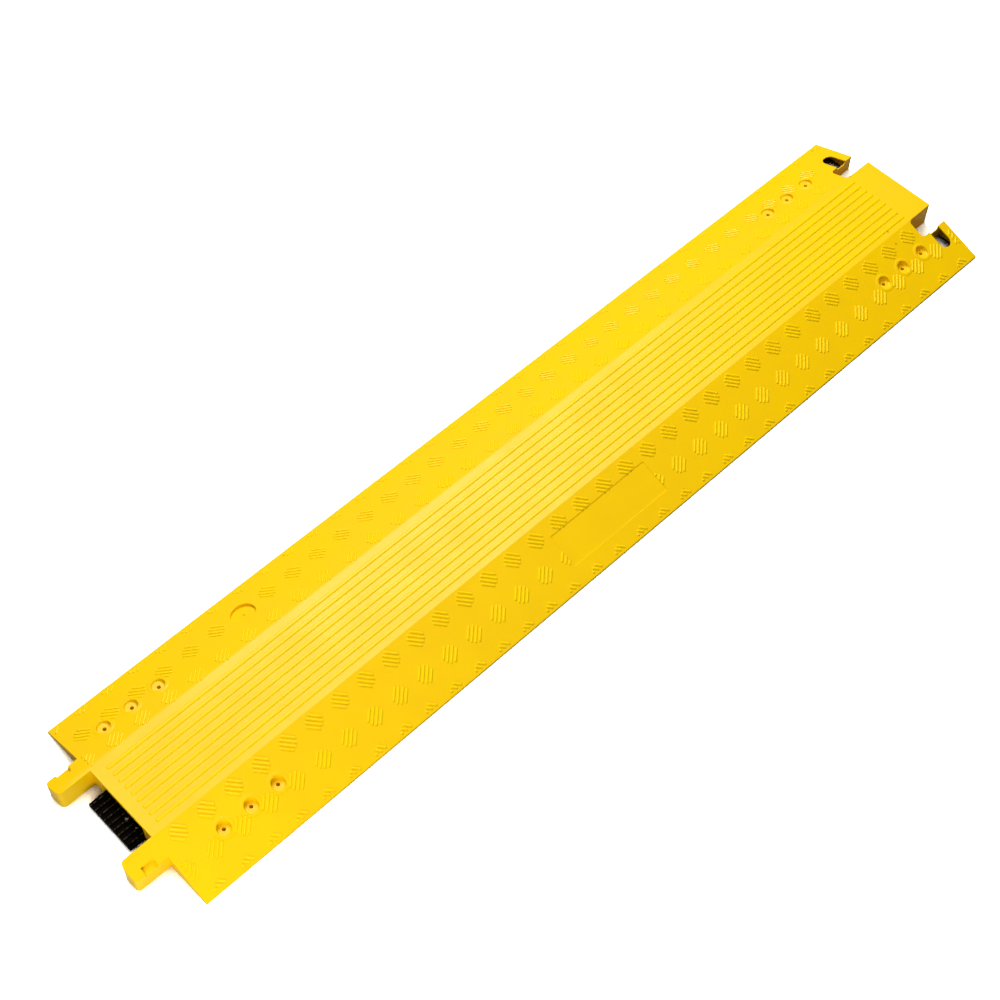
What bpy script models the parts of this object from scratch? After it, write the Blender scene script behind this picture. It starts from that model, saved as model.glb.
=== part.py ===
"""Floor cable cover, one straight module with its channel liner, at real size in metres.

The cover is a low ramp moulding: a flat top, two slopes, and a cable channel below.
Its left end has two hooked tabs. Its right end has the two notches that take them.
The liner is a black ribbed strip that lies in the channel and stands out at the left end.
The origin is the middle of the footprint at floor level, +X runs to the notched end.
"""

import math

import bmesh
import bpy

BODY_LENGTH = 1.000
TAB_REACH = 0.0335
ORIGIN_SHIFT = (BODY_LENGTH - TAB_REACH) / 2.0

HALF_WIDTH = 0.107
HALF_TOP = 0.0405
HEIGHT = 0.026
EDGE_HEIGHT = 0.002
RAMP_SLOPE = (HEIGHT - EDGE_HEIGHT) / (HALF_WIDTH - HALF_TOP)

CHANNEL_HALF_WIDTH = 0.028
CHANNEL_CEILING = 0.0215

TAB_INNER = 0.0407
TAB_OUTER = 0.0607
TAB_POCKET_INNER = 0.0542
TAB_POCKET_X = (-0.0225, -0.010)
POCKET_FLOOR = 0.014

NOTCH_X = 0.967
NOTCH_INNER = 0.0403
NOTCH_OUTER = 0.0610
NOTCH_CORNER = 0.0045

SLOT_X = (0.9768, 0.9903)
SLOT_OUTER = 0.0828
SILL_THICKNESS = 0.0025
SILL_TOP = 0.014

SCREW_PITCH = 0.02917
SCREW_ROW = 0.0702
SCREW_STARTS = ((0.0495, -1.0), (0.8953, -1.0), (0.0347, 1.0), (0.8806, 1.0))
SCREWS_PER_GROUP = 3
SCREW_SEAT_RADIUS = 0.0067
SCREW_SEAT_FLOOR = 0.0117
SCREW_HOLE_RADIUS = 0.0017

DISC_CENTRE = (0.192, 0.0765)
DISC_RADIUS = 0.0118
DISC_DEPTH = 0.0030

RIB_COUNT = 9
RIB_PITCH = 0.0081
RIB_WIDTH = 0.0033
RIB_RISE = 0.0008
RIB_X = (0.011, 0.9685)

LINER_HALF_WIDTH = 0.0277
LINER_BASE = 0.0050
LINER_TOP = 0.0065
LINER_RIB_PITCH = 0.00615
LINER_RIB_WIDTH = 0.0024
LINER_X = (-0.016, 0.984)


def clear_objects():
    """Remove every object that the new scene starts with."""
    for item in list(bpy.data.objects):
        bpy.data.objects.remove(item, do_unlink=True)


def collection(name):
    """Return a new collection that is linked to the scene."""
    group = bpy.data.collections.new(name)
    bpy.context.scene.collection.children.link(group)
    return group


def material(name, colour, roughness):
    """Return a plain Principled material."""
    made = bpy.data.materials.new(name)
    made.use_nodes = True
    shader = made.node_tree.nodes["Principled BSDF"]
    shader.inputs["Base Color"].default_value = (*colour, 1.0)
    shader.inputs["Roughness"].default_value = roughness
    return made


def ramp_height(y):
    """Return the top surface's height at a distance from the middle line."""
    if abs(y) <= HALF_TOP:
        return HEIGHT
    return HEIGHT - RAMP_SLOPE * (abs(y) - HALF_TOP)


def add_object(name, mesh_data, group):
    """Link a mesh as an object, moved so that the footprint's middle is at the origin."""
    for vertex in mesh_data.vertices:
        vertex.co.x -= ORIGIN_SHIFT
    item = bpy.data.objects.new(name, mesh_data)
    group.objects.link(item)
    return item


def finish_mesh(name, builder):
    """Turn a bmesh into a mesh with every face pointing outward."""
    bmesh.ops.recalc_face_normals(builder, faces=builder.faces)
    mesh_data = bpy.data.meshes.new(name)
    builder.to_mesh(mesh_data)
    builder.free()
    return mesh_data


def add_prism(builder, lower, upper):
    """Add a closed prism between two rings of the same number of points."""
    low = [builder.verts.new(point) for point in lower]
    high = [builder.verts.new(point) for point in upper]
    builder.faces.new(low)
    builder.faces.new(high)
    count = len(low)
    for index in range(count):
        after = (index + 1) % count
        builder.faces.new((low[index], low[after], high[after], high[index]))


def add_plan_prism(builder, outline, z_low, z_high):
    """Add a prism that stands on a plan outline."""
    lower = [(x, y, z_low) for x, y in outline]
    upper = [(x, y, z_high) for x, y in outline]
    add_prism(builder, lower, upper)


def arc(centre, radius, start, end, steps):
    """Return points on an arc, angles in degrees, both ends included."""
    points = []
    for step in range(steps + 1):
        angle = math.radians(start + (end - start) * step / steps)
        x = centre[0] + radius * math.cos(angle)
        y = centre[1] + radius * math.sin(angle)
        points.append((x, y))
    return points


def tab_outline():
    """Return the far tab's plan from its inner root to its outer root."""
    tip = [(-0.0290, TAB_INNER), (-0.0312, 0.0414), (-0.0325, 0.0432), (-0.0333, 0.0465)]
    tip += [(-0.0335, 0.0500), (-0.0333, 0.0545), (-0.0328, 0.0585), (-0.0315, 0.0602)]
    tip += [(-0.0297, TAB_OUTER)]
    return [(0.0, TAB_INNER)] + tip + [(0.0, TAB_OUTER)]


def notch_outline():
    """Return the far notch's plan from its outer mouth to its inner mouth."""
    radius = NOTCH_CORNER
    outer = arc((NOTCH_X + radius, NOTCH_OUTER - radius), radius, 90.0, 180.0, 6)
    inner = arc((NOTCH_X + radius, NOTCH_INNER + radius), radius, 180.0, 270.0, 6)
    return [(BODY_LENGTH, NOTCH_OUTER)] + outer + inner + [(BODY_LENGTH, NOTCH_INNER)]


def mirrored(points):
    """Return plan points mirrored to the near side, in reverse order."""
    return [(x, -y) for x, y in reversed(points)]


def plan_outline():
    """Return the whole footprint with tabs and notches."""
    over = HALF_WIDTH + 0.010
    far = [(0.0, over), (BODY_LENGTH, over)]
    outline = tab_outline() + far + notch_outline()
    return outline + mirrored(outline)


def section():
    """Return the cross section with the open channel."""
    return [
        (-HALF_WIDTH, 0.0),
        (-CHANNEL_HALF_WIDTH, 0.0),
        (-CHANNEL_HALF_WIDTH, CHANNEL_CEILING),
        (CHANNEL_HALF_WIDTH, CHANNEL_CEILING),
        (CHANNEL_HALF_WIDTH, 0.0),
        (HALF_WIDTH, 0.0),
        (HALF_WIDTH, EDGE_HEIGHT),
        (HALF_TOP, HEIGHT),
        (-HALF_TOP, HEIGHT),
        (-HALF_WIDTH, EDGE_HEIGHT),
    ]


def cover_blank(group):
    """Return the extruded section, longer than the module at both ends."""
    builder = bmesh.new()
    lower = [(-0.040, y, z) for y, z in section()]
    upper = [(BODY_LENGTH + 0.010, y, z) for y, z in section()]
    add_prism(builder, lower, upper)
    return add_object("cover", finish_mesh("cover", builder), group)


def footprint_cutter(group):
    """Return the footprint block that the blank is cut down to."""
    builder = bmesh.new()
    add_plan_prism(builder, plan_outline(), -0.010, 0.050)
    return add_object("footprint_cutter", finish_mesh("footprint_cutter", builder), group)


def ring(centre, radius, z, count):
    """Return a ring of points about a vertical axis."""
    points = []
    for index in range(count):
        angle = 2.0 * math.pi * (index + 0.5) / count
        x = centre[0] + radius * math.cos(angle)
        y = centre[1] + radius * math.sin(angle)
        points.append((x, y, z))
    return points


def add_lathe(builder, centre, profile, count):
    """Add a closed turned solid from radius and height pairs, low end first."""
    rings = []
    for radius, z in profile:
        rings.append([builder.verts.new(point) for point in ring(centre, radius, z, count)])
    builder.faces.new(rings[0])
    builder.faces.new(rings[-1])
    for below, above in zip(rings, rings[1:]):
        for index in range(count):
            after = (index + 1) % count
            builder.faces.new((below[index], below[after], above[after], above[index]))


def screw_centres():
    """Return the plan centres of the fixing holes."""
    centres = []
    for start, side in SCREW_STARTS:
        for step in range(SCREWS_PER_GROUP):
            centres.append((start + SCREW_PITCH * step, side * SCREW_ROW))
    return centres


def add_box(builder, low, high):
    """Add an upright box between two corners."""
    outline = [(low[0], low[1]), (high[0], low[1]), (high[0], high[1]), (low[0], high[1])]
    add_plan_prism(builder, outline, low[2], high[2])


def slot_outline(side):
    """Return a key slot's plan outside its sill, with a rounded outer end."""
    middle = (SLOT_X[0] + SLOT_X[1]) / 2.0
    radius = (SLOT_X[1] - SLOT_X[0]) / 2.0
    start = NOTCH_OUTER + SILL_THICKNESS
    outline = [(SLOT_X[1], start)]
    outline += arc((middle, SLOT_OUTER - radius), radius, 0.0, 180.0, 12)
    outline += [(SLOT_X[0], start)]
    return [(x, side * y) for x, y in outline]


def hole_cutter(group):
    """Return the fixing holes with their seats, and the key slots."""
    builder = bmesh.new()
    profile = [
        (SCREW_HOLE_RADIUS, -0.005),
        (SCREW_HOLE_RADIUS, SCREW_SEAT_FLOOR),
        (SCREW_SEAT_RADIUS, SCREW_SEAT_FLOOR),
        (SCREW_SEAT_RADIUS, 0.030),
    ]
    for centre in screw_centres():
        add_lathe(builder, centre, profile, 24)
    for side in (-1.0, 1.0):
        add_plan_prism(builder, slot_outline(side), -0.005, 0.040)
    return add_object("hole_cutter", finish_mesh("hole_cutter", builder), group)


def pocket_cutter(group):
    """Return the tab pockets, the slot mouths and the round recess."""
    builder = bmesh.new()
    for side in (-1.0, 1.0):
        inner = side * TAB_POCKET_INNER
        outer = side * (TAB_OUTER + 0.003)
        low_y = min(inner, outer)
        high_y = max(inner, outer)
        add_box(builder, (TAB_POCKET_X[0], low_y, POCKET_FLOOR), (TAB_POCKET_X[1], high_y, 0.040))
        inner = side * (NOTCH_OUTER - 0.003)
        outer = side * (NOTCH_OUTER + SILL_THICKNESS + 0.002)
        low_y = min(inner, outer)
        high_y = max(inner, outer)
        add_box(builder, (SLOT_X[0], low_y, SILL_TOP), (SLOT_X[1], high_y, 0.040))
    add_disc(builder)
    return add_object("pocket_cutter", finish_mesh("pocket_cutter", builder), group)


def add_disc(builder):
    """Add the round recess's cutter, its floor parallel to the far slope."""
    tilt = math.atan(RAMP_SLOPE)
    count = 40
    surface = ramp_height(DISC_CENTRE[1])
    rings = []
    for depth in (-DISC_DEPTH, 0.006):
        points = []
        for index in range(count):
            angle = 2.0 * math.pi * (index + 0.5) / count
            along = DISC_RADIUS * math.sin(angle)
            x = DISC_CENTRE[0] + DISC_RADIUS * math.cos(angle)
            y = DISC_CENTRE[1] + along * math.cos(tilt) + depth * math.sin(tilt)
            z = surface - along * math.sin(tilt) + depth * math.cos(tilt)
            points.append((x, y, z))
        rings.append(points)
    add_prism(builder, rings[0], rings[1])


def rib_outline(middle_y, inset):
    """Return a top rib's plan with rounded ends, drawn in by an inset."""
    radius = RIB_WIDTH / 2.0 - inset
    left = (RIB_X[0] + RIB_WIDTH / 2.0, middle_y)
    right = (RIB_X[1] - RIB_WIDTH / 2.0, middle_y)
    return arc(right, radius, -90.0, 90.0, 6) + arc(left, radius, 90.0, 270.0, 6)


def add_rib(builder, middle_y):
    """Add one low rib with sloping flanks."""
    levels = ((0.0, HEIGHT - 0.001), (0.0, HEIGHT), (0.0004, HEIGHT + 0.0006), (0.0010, HEIGHT + RIB_RISE))
    rings = []
    for inset, z in levels:
        rings.append([builder.verts.new((x, y, z)) for x, y in rib_outline(middle_y, inset)])
    builder.faces.new(rings[0])
    builder.faces.new(rings[-1])
    count = len(rings[0])
    for below, above in zip(rings, rings[1:]):
        for index in range(count):
            after = (index + 1) % count
            builder.faces.new((below[index], below[after], above[after], above[index]))


def rib_adder(group):
    """Return the low ribs along the flat top, sunk a little for the join."""
    builder = bmesh.new()
    for index in range(RIB_COUNT):
        add_rib(builder, (index - (RIB_COUNT - 1) / 2.0) * RIB_PITCH)
    return add_object("rib_adder", finish_mesh("rib_adder", builder), group)


def add_boolean(item, other, operation):
    """Add an exact Boolean modifier."""
    modifier = item.modifiers.new(other.name, "BOOLEAN")
    modifier.operation = operation
    modifier.solver = "EXACT"
    modifier.object = other


def hide_cutter(item):
    """Keep a cutter out of the result and show it as wire."""
    item.hide_render = True
    item.display_type = "WIRE"


def make_cover(group, cutters):
    """Make the moulded cover as one body."""
    item = cover_blank(group)
    steps = (
        (footprint_cutter(cutters), "INTERSECT"),
        (hole_cutter(cutters), "DIFFERENCE"),
        (pocket_cutter(cutters), "DIFFERENCE"),
        (rib_adder(cutters), "UNION"),
    )
    for other, operation in steps:
        add_boolean(item, other, operation)
        hide_cutter(other)
    item.data.materials.append(material("cover", (0.93, 0.62, 0.010), 0.45))
    return item


def liner_section():
    """Return the liner's section: a slab with low ribs on top."""
    points = [(-LINER_HALF_WIDTH, 0.0), (LINER_HALF_WIDTH, 0.0), (LINER_HALF_WIDTH, LINER_BASE)]
    half = LINER_RIB_WIDTH / 2.0
    for index in range(4, -5, -1):
        middle = index * LINER_RIB_PITCH
        points.append((middle + half, LINER_BASE))
        points.append((middle + half * 0.5, LINER_TOP))
        points.append((middle - half * 0.5, LINER_TOP))
        points.append((middle - half, LINER_BASE))
    points.append((-LINER_HALF_WIDTH, LINER_BASE))
    return points


def make_liner(group):
    """Make the ribbed strip that lies in the channel."""
    builder = bmesh.new()
    lower = [(LINER_X[0], y, z) for y, z in liner_section()]
    upper = [(LINER_X[1], y, z) for y, z in liner_section()]
    add_prism(builder, lower, upper)
    item = add_object("channel_liner", finish_mesh("channel_liner", builder), group)
    item.data.materials.append(material("channel_liner", (0.012, 0.011, 0.010), 0.5))
    return item


def main():
    """Build the cover and its liner."""
    clear_objects()
    group = collection("floor_cable_cover")
    cutters = collection("cutters")
    make_cover(group, cutters)
    make_liner(group)


main()
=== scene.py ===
"""Looks for the floor cable cover: a yellow ramp moulding over a black ribbed channel liner.

Sizes are metres in the cover's own module frame. There x starts at the end with the tabs,
y is measured from the middle line, and z from the floor. `CoverForm.place` moves a point
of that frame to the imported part's frame, whose origin is the middle of the footprint.
"""

from __future__ import annotations

import logging
import math
from dataclasses import dataclass, field, replace
from enum import Enum
from typing import Callable, Iterable, Sequence

import bmesh
import bpy
from bpy.types import Material, Mesh, Node, NodeSocket, NodeTree, Object
from mathutils import Matrix, Vector

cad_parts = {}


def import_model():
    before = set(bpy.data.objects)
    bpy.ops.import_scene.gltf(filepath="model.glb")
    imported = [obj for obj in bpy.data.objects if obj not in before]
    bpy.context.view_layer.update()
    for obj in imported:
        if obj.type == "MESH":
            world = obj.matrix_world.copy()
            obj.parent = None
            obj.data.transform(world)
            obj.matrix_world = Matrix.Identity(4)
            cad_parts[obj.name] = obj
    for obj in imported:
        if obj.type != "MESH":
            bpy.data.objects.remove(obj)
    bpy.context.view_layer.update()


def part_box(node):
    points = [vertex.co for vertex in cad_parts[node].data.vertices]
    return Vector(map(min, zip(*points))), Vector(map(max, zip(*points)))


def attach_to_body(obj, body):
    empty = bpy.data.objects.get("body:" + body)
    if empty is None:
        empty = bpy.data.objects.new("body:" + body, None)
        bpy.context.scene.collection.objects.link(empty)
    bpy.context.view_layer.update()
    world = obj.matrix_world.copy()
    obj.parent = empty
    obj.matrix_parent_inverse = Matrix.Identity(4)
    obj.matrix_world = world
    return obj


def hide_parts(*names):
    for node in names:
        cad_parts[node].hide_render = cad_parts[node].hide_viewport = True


logging.basicConfig(level=logging.INFO, format="%(name)s: %(message)s")
LOG = logging.getLogger("cable_cover")

BODY = "root"

Point = tuple[float, float, float]
Plan = tuple[float, float]
Rings = list[list[Point]]


class Side(Enum):
    """The two slopes, by the sign of their y."""

    NEAR = -1.0
    FAR = 1.0


class Lean(Enum):
    """Which way a tread bar runs over its slope, as +x goes with -y or with +y."""

    FALLING = -1.0
    RISING = 1.0


# ---------------------------------------------------------------- mesh helpers


def arc(centre: Plan, radius: float, start: float, end: float, steps: int) -> list[Plan]:
    """Return points on an arc.

    Args:
        centre: Middle of the arc.
        radius: Radius in metres.
        start: First angle in degrees.
        end: Last angle in degrees.
        steps: Number of straight steps.

    Returns:
        The points, both ends included.
    """
    points = []
    for step in range(steps + 1):
        angle = math.radians(start + (end - start) * step / steps)
        points.append((centre[0] + radius * math.cos(angle), centre[1] + radius * math.sin(angle)))
    return points


def stadium(length: float, width: float, steps: int) -> list[Plan]:
    """Return a bar's plan about its middle: straight sides along x and round ends.

    Args:
        length: Length over the round ends.
        width: Width across.
        steps: Steps in each round end.

    Returns:
        The outline's points.
    """
    radius = width / 2.0
    reach = max(length / 2.0 - radius, 0.0)
    right = arc((reach, 0.0), radius, -90.0, 90.0, steps)
    left = arc((-reach, 0.0), radius, 90.0, 270.0, steps)
    return right + left


def circle(radius: float, start: float, count: int) -> list[Plan]:
    """Return the corners of a circle about the origin, the first at an angle in degrees."""
    return arc((0.0, 0.0), radius, start, start + 360.0, count)[:-1]


def upright(outline: Sequence[Plan], low: float, high: float) -> Rings:
    """Return the rings of an upright block on a plan outline."""
    return [[(x, y, height) for x, y in outline] for height in (low, high)]


def extruded(section: Sequence[Plan], ends: Plan) -> Rings:
    """Return the rings of a section of y and z, drawn out along x."""
    return [[(x, y, z) for y, z in section] for x in ends]


def lift(spot: Matrix, outline: Iterable[Plan], height: float) -> list[Point]:
    """Return a plan outline as a ring at a height in a spot's frame."""
    return [tuple(spot @ Vector((x, y, height))) for x, y in outline]


def turned(centre: Plan, profile: Sequence[Plan], count: int) -> Rings:
    """Return the rings of a turned solid about an upright axis.

    Args:
        centre: Plan place of the axis.
        profile: Radius and height pairs, low end first.
        count: Number of sides.

    Returns:
        The rings, low end first.
    """
    rings = []
    for radius, height in profile:
        ring = []
        for index in range(count):
            angle = 2.0 * math.pi * (index + 0.5) / count
            ring.append((centre[0] + radius * math.cos(angle), centre[1] + radius * math.sin(angle), height))
        rings.append(ring)
    return rings


def bar(size: Point, sink: float, levels: Sequence[Plan], steps: int) -> Rings:
    """Return the rings of a bar along x, with round ends and a rounded top.

    Args:
        size: Its length, width and rise.
        sink: How deep its foot stands in the surface below it.
        levels: For each ring above the foot, its inset in widths and its height in rises.
        steps: Steps in each round end.

    Returns:
        The rings about the middle of the bar, the foot first.
    """
    length, width, rise = size
    rings = [[(x, y, -sink) for x, y in stadium(length, width, steps)]]
    for inset, share in levels:
        outline = stadium(length - inset * width, width - inset * width, steps)
        rings.append([(x, y, share * rise) for x, y in outline])
    return rings


def to_object(name: str, builder: bmesh.types.BMesh) -> Object:
    """Link a builder's mesh to the scene as an object of that name, and free the builder."""
    mesh = bpy.data.meshes.new(name)
    builder.to_mesh(mesh)
    builder.free()
    item = bpy.data.objects.new(name, mesh)
    bpy.context.scene.collection.objects.link(item)
    return item


def solid(name: str, stacks: Iterable[Rings]) -> Object:
    """Add an object of closed solids, its faces turned outward.

    Args:
        name: The object's name.
        stacks: The rings of each solid, from one end to the other, all of the same number of points.

    Returns:
        The object.
    """
    builder = bmesh.new()
    for rings in stacks:
        made = [[builder.verts.new(point) for point in ring] for ring in rings]
        builder.faces.new(list(reversed(made[0])))
        builder.faces.new(made[-1])
        count = len(made[0])
        for below, above in zip(made, made[1:]):
            for index in range(count):
                after = (index + 1) % count
                builder.faces.new((below[index], below[after], above[after], above[index]))
    bmesh.ops.recalc_face_normals(builder, faces=builder.faces)
    return to_object(name, builder)


def combine(item: Object, other: Object, operation: str) -> None:
    """Apply one exact Boolean to an object and remove the other object.

    Args:
        item: The object that changes.
        other: The solid that cuts it, bounds it or joins it.
        operation: DIFFERENCE, INTERSECT or UNION.
    """
    modifier = item.modifiers.new(operation, "BOOLEAN")
    modifier.operation = operation
    modifier.solver = "EXACT"
    modifier.object = other
    bpy.context.view_layer.update()
    graph = bpy.context.evaluated_depsgraph_get()
    result = bpy.data.meshes.new_from_object(item.evaluated_get(graph))
    item.modifiers.clear()
    item.data = result
    bpy.data.objects.remove(other, do_unlink=True)


def round_edges(
    mesh: Mesh, width: float, steps: int, least: float, wanted: Callable[[Vector], bool]
) -> None:
    """Round a mesh's edges.

    Args:
        mesh: The mesh that changes.
        width: How far the rounding reaches over each face.
        steps: Number of faces across the rounding.
        least: Smallest angle in degrees between faces that counts as an edge.
        wanted: Says from an edge's middle whether it is rounded.
    """
    builder = bmesh.new()
    builder.from_mesh(mesh)
    bmesh.ops.remove_doubles(builder, verts=builder.verts, dist=1e-6)
    limit = math.radians(least)
    edges = []
    for edge in builder.edges:
        if len(edge.link_faces) != 2 or edge.calc_face_angle(0.0) < limit:
            continue
        if wanted((edge.verts[0].co + edge.verts[1].co) / 2.0):
            edges.append(edge)
    bmesh.ops.bevel(
        builder,
        geom=edges,
        offset=width,
        offset_type="OFFSET",
        segments=steps,
        profile=0.5,
        affect="EDGES",
        clamp_overlap=False,
        miter_outer="ARC",
    )
    builder.to_mesh(mesh)
    builder.free()


def dress(item: Object, finish: Material, crease: float) -> Object:
    """Give an object its one finish, and smooth shading with flat faces kept flat.

    Args:
        item: The object.
        finish: Its material.
        crease: Angle in degrees from which an edge stays sharp.

    Returns:
        The same object.
    """
    item.data.materials.clear()
    item.data.materials.append(finish)
    item.data.shade_smooth()
    item.data.set_sharp_from_angle(angle=math.radians(crease))
    normals = item.modifiers.new("even_normals", "WEIGHTED_NORMAL")
    normals.keep_sharp = True
    normals.weight = 100
    return item


# ---------------------------------------------------------------- shader helpers


@dataclass
class NodeBench:
    """Adds nodes to one tree and joins them."""

    tree: NodeTree

    def add(self, kind: str, **values: object) -> Node:
        """Add a node.

        Args:
            kind: The node's type without its ShaderNode prefix.
            **values: Its properties.

        Returns:
            The node.
        """
        node = self.tree.nodes.new("ShaderNode" + kind)
        for key, value in values.items():
            setattr(node, key, value)
        return node

    def feed(self, socket: NodeSocket, value: object) -> None:
        """Link another socket to this one, or set its value."""
        if isinstance(value, NodeSocket):
            self.tree.links.new(value, socket)
        else:
            socket.default_value = value

    def maths(self, operation: str, first: object, second: object = 0.0, clamp: bool = False) -> object:
        """Add a Math node and return its output."""
        node = self.add("Math", operation=operation, use_clamp=clamp)
        self.feed(node.inputs[0], first)
        self.feed(node.inputs[1], second)
        return node.outputs[0]

    def remap(self, value: object, low: float, high: float, to_low: object, to_high: object) -> object:
        """Map a value from one range to another, clamped, and return the output."""
        node = self.add("MapRange", clamp=True)
        for socket, given in zip(node.inputs, (value, low, high, to_low, to_high)):
            self.feed(socket, given)
        return node.outputs[0]

    def blend(self, factor: object, first: object, second: object) -> object:
        """Blend two colours by a factor and return the output."""
        node = self.add("Mix", data_type="RGBA")
        self.feed(node.inputs[0], factor)
        self.feed(node.inputs[6], first)
        self.feed(node.inputs[7], second)
        return node.outputs[2]

    def noise(self, vector: object, scale: object, detail: float) -> object:
        """Add a noise texture and return its value."""
        return self.fill(self.add("TexNoise"), Vector=vector, Scale=scale, Detail=detail).outputs[0]

    def vector(self, operation: str, first: object, second: object) -> Node:
        """Add a Vector Math node and return it."""
        node = self.add("VectorMath", operation=operation)
        self.feed(node.inputs[0], first)
        self.feed(node.inputs[1], second)
        return node

    def fill(self, node: Node, **values: object) -> Node:
        """Feed a node's inputs.

        Args:
            node: The node.
            **values: Its inputs by name, with _ for the spaces.

        Returns:
            The same node.
        """
        for key, value in values.items():
            self.feed(node.inputs[key.replace("_", " ")], value)
        return node


def new_group(name: str, inputs: dict[str, str], outputs: dict[str, str]) -> tuple:
    """Start a node group.

    Args:
        name: The group's name.
        inputs: The kind of each input by its name. All of them are fed where the group is used.
        outputs: The kind of each output by its name.

    Returns:
        The group, a bench for it, its input node and its output node.
    """
    group = bpy.data.node_groups.new(name, "ShaderNodeTree")
    for way, sockets in (("INPUT", inputs), ("OUTPUT", outputs)):
        for label, kind in sockets.items():
            group.interface.new_socket(name=label, in_out=way, socket_type="NodeSocket" + kind)
    bench = NodeBench(group)
    return group, bench, bench.tree.nodes.new("NodeGroupInput"), bench.tree.nodes.new("NodeGroupOutput")


@dataclass
class SurfaceEffects:
    """The shader groups that the plastics share, and the noise values that they turn into masks."""

    cloud_range: Plan = (0.35, 0.68)
    grain_range: Plan = (0.3, 0.7)
    cloud_share: float = 0.65
    grain_share: float = 0.35
    line_stretch: Point = (0.12, 1.0, 1.0)
    line_full: float = 0.8
    scuffed_scale: float = 9.0
    scuffed_range: Plan = (0.45, 0.62)
    skin: NodeTree = field(init=False)
    specks: NodeTree = field(init=False)
    scuffs: NodeTree = field(init=False)

    def __post_init__(self) -> None:
        """Build the groups."""
        self.skin = self.build_skin()
        self.specks = self.build_specks()
        self.scuffs = self.build_scuffs()

    def build_skin(self) -> NodeTree:
        """Build the moulded skin: uneven colour and gloss, and a fine grain.

        Returns:
            The node group.
        """
        inputs = {"Vector": "Vector", "Colour": "Color", "Deep Colour": "Color"}
        inputs.update(dict.fromkeys(("Cloud Scale", "Grain Scale", "Roughness", "Spread"), "Float"))
        outputs = {"Colour": "Color", "Roughness": "Float", "Height": "Float"}
        group, bench, given, result = new_group("moulded_skin", inputs, outputs)
        vector = given.outputs["Vector"]
        cloud = bench.noise(vector, given.outputs["Cloud Scale"], 4.0)
        grain = bench.noise(vector, given.outputs["Grain Scale"], 2.0)
        uneven = bench.remap(cloud, *self.cloud_range, 0.0, 1.0)
        fine = bench.remap(grain, *self.grain_range, 0.0, 1.0)
        share = bench.maths("MULTIPLY", fine, self.grain_share)
        mixed = bench.maths("ADD", bench.maths("MULTIPLY", uneven, self.cloud_share), share, clamp=True)
        colour = bench.blend(mixed, given.outputs["Colour"], given.outputs["Deep Colour"])
        swing = bench.maths("MULTIPLY", bench.maths("SUBTRACT", mixed, 0.5), given.outputs["Spread"])
        gloss = bench.maths("ADD", given.outputs["Roughness"], swing, clamp=True)
        bench.fill(result, Colour=colour, Roughness=gloss, Height=grain)
        return group

    def build_specks(self) -> NodeTree:
        """Build the scattered specks of dirt.

        Returns:
            The node group.
        """
        inputs = {"Vector": "Vector", "Scale": "Float", "Size": "Float", "Share": "Float"}
        group, bench, given, result = new_group("dirt_specks", inputs, {"Mask": "Float"})
        cells = bench.add("TexVoronoi")
        bench.fill(cells, Vector=given.outputs["Vector"], Scale=given.outputs["Scale"])
        near = bench.maths("LESS_THAN", cells.outputs["Distance"], given.outputs["Size"])
        split = bench.add("SeparateColor")
        bench.feed(split.inputs[0], cells.outputs["Color"])
        chosen = bench.maths("LESS_THAN", split.outputs[0], given.outputs["Share"])
        bench.feed(result.inputs["Mask"], bench.maths("MULTIPLY", near, chosen))
        return group

    def build_scuffs(self) -> NodeTree:
        """Build the fine scuff lines, drawn out along one direction.

        Returns:
            The node group.
        """
        inputs = {"Vector": "Vector", "Scale": "Float", "Turn": "Vector", "Least": "Float"}
        group, bench, given, result = new_group("scuff_lines", inputs, {"Mask": "Float"})
        rotated = bench.add("VectorRotate", rotation_type="EULER_XYZ")
        bench.fill(rotated, Vector=given.outputs["Vector"], Rotation=given.outputs["Turn"])
        drawn = bench.vector("MULTIPLY", rotated.outputs[0], self.line_stretch)
        lines = bench.noise(drawn.outputs[0], given.outputs["Scale"], 3.0)
        area = bench.noise(given.outputs["Vector"], self.scuffed_scale, 2.0)
        strong = bench.remap(lines, given.outputs["Least"], self.line_full, 0.0, 1.0)
        kept = bench.remap(area, *self.scuffed_range, 0.0, 1.0)
        bench.feed(result.inputs["Mask"], bench.maths("MULTIPLY", strong, kept))
        return group


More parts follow.
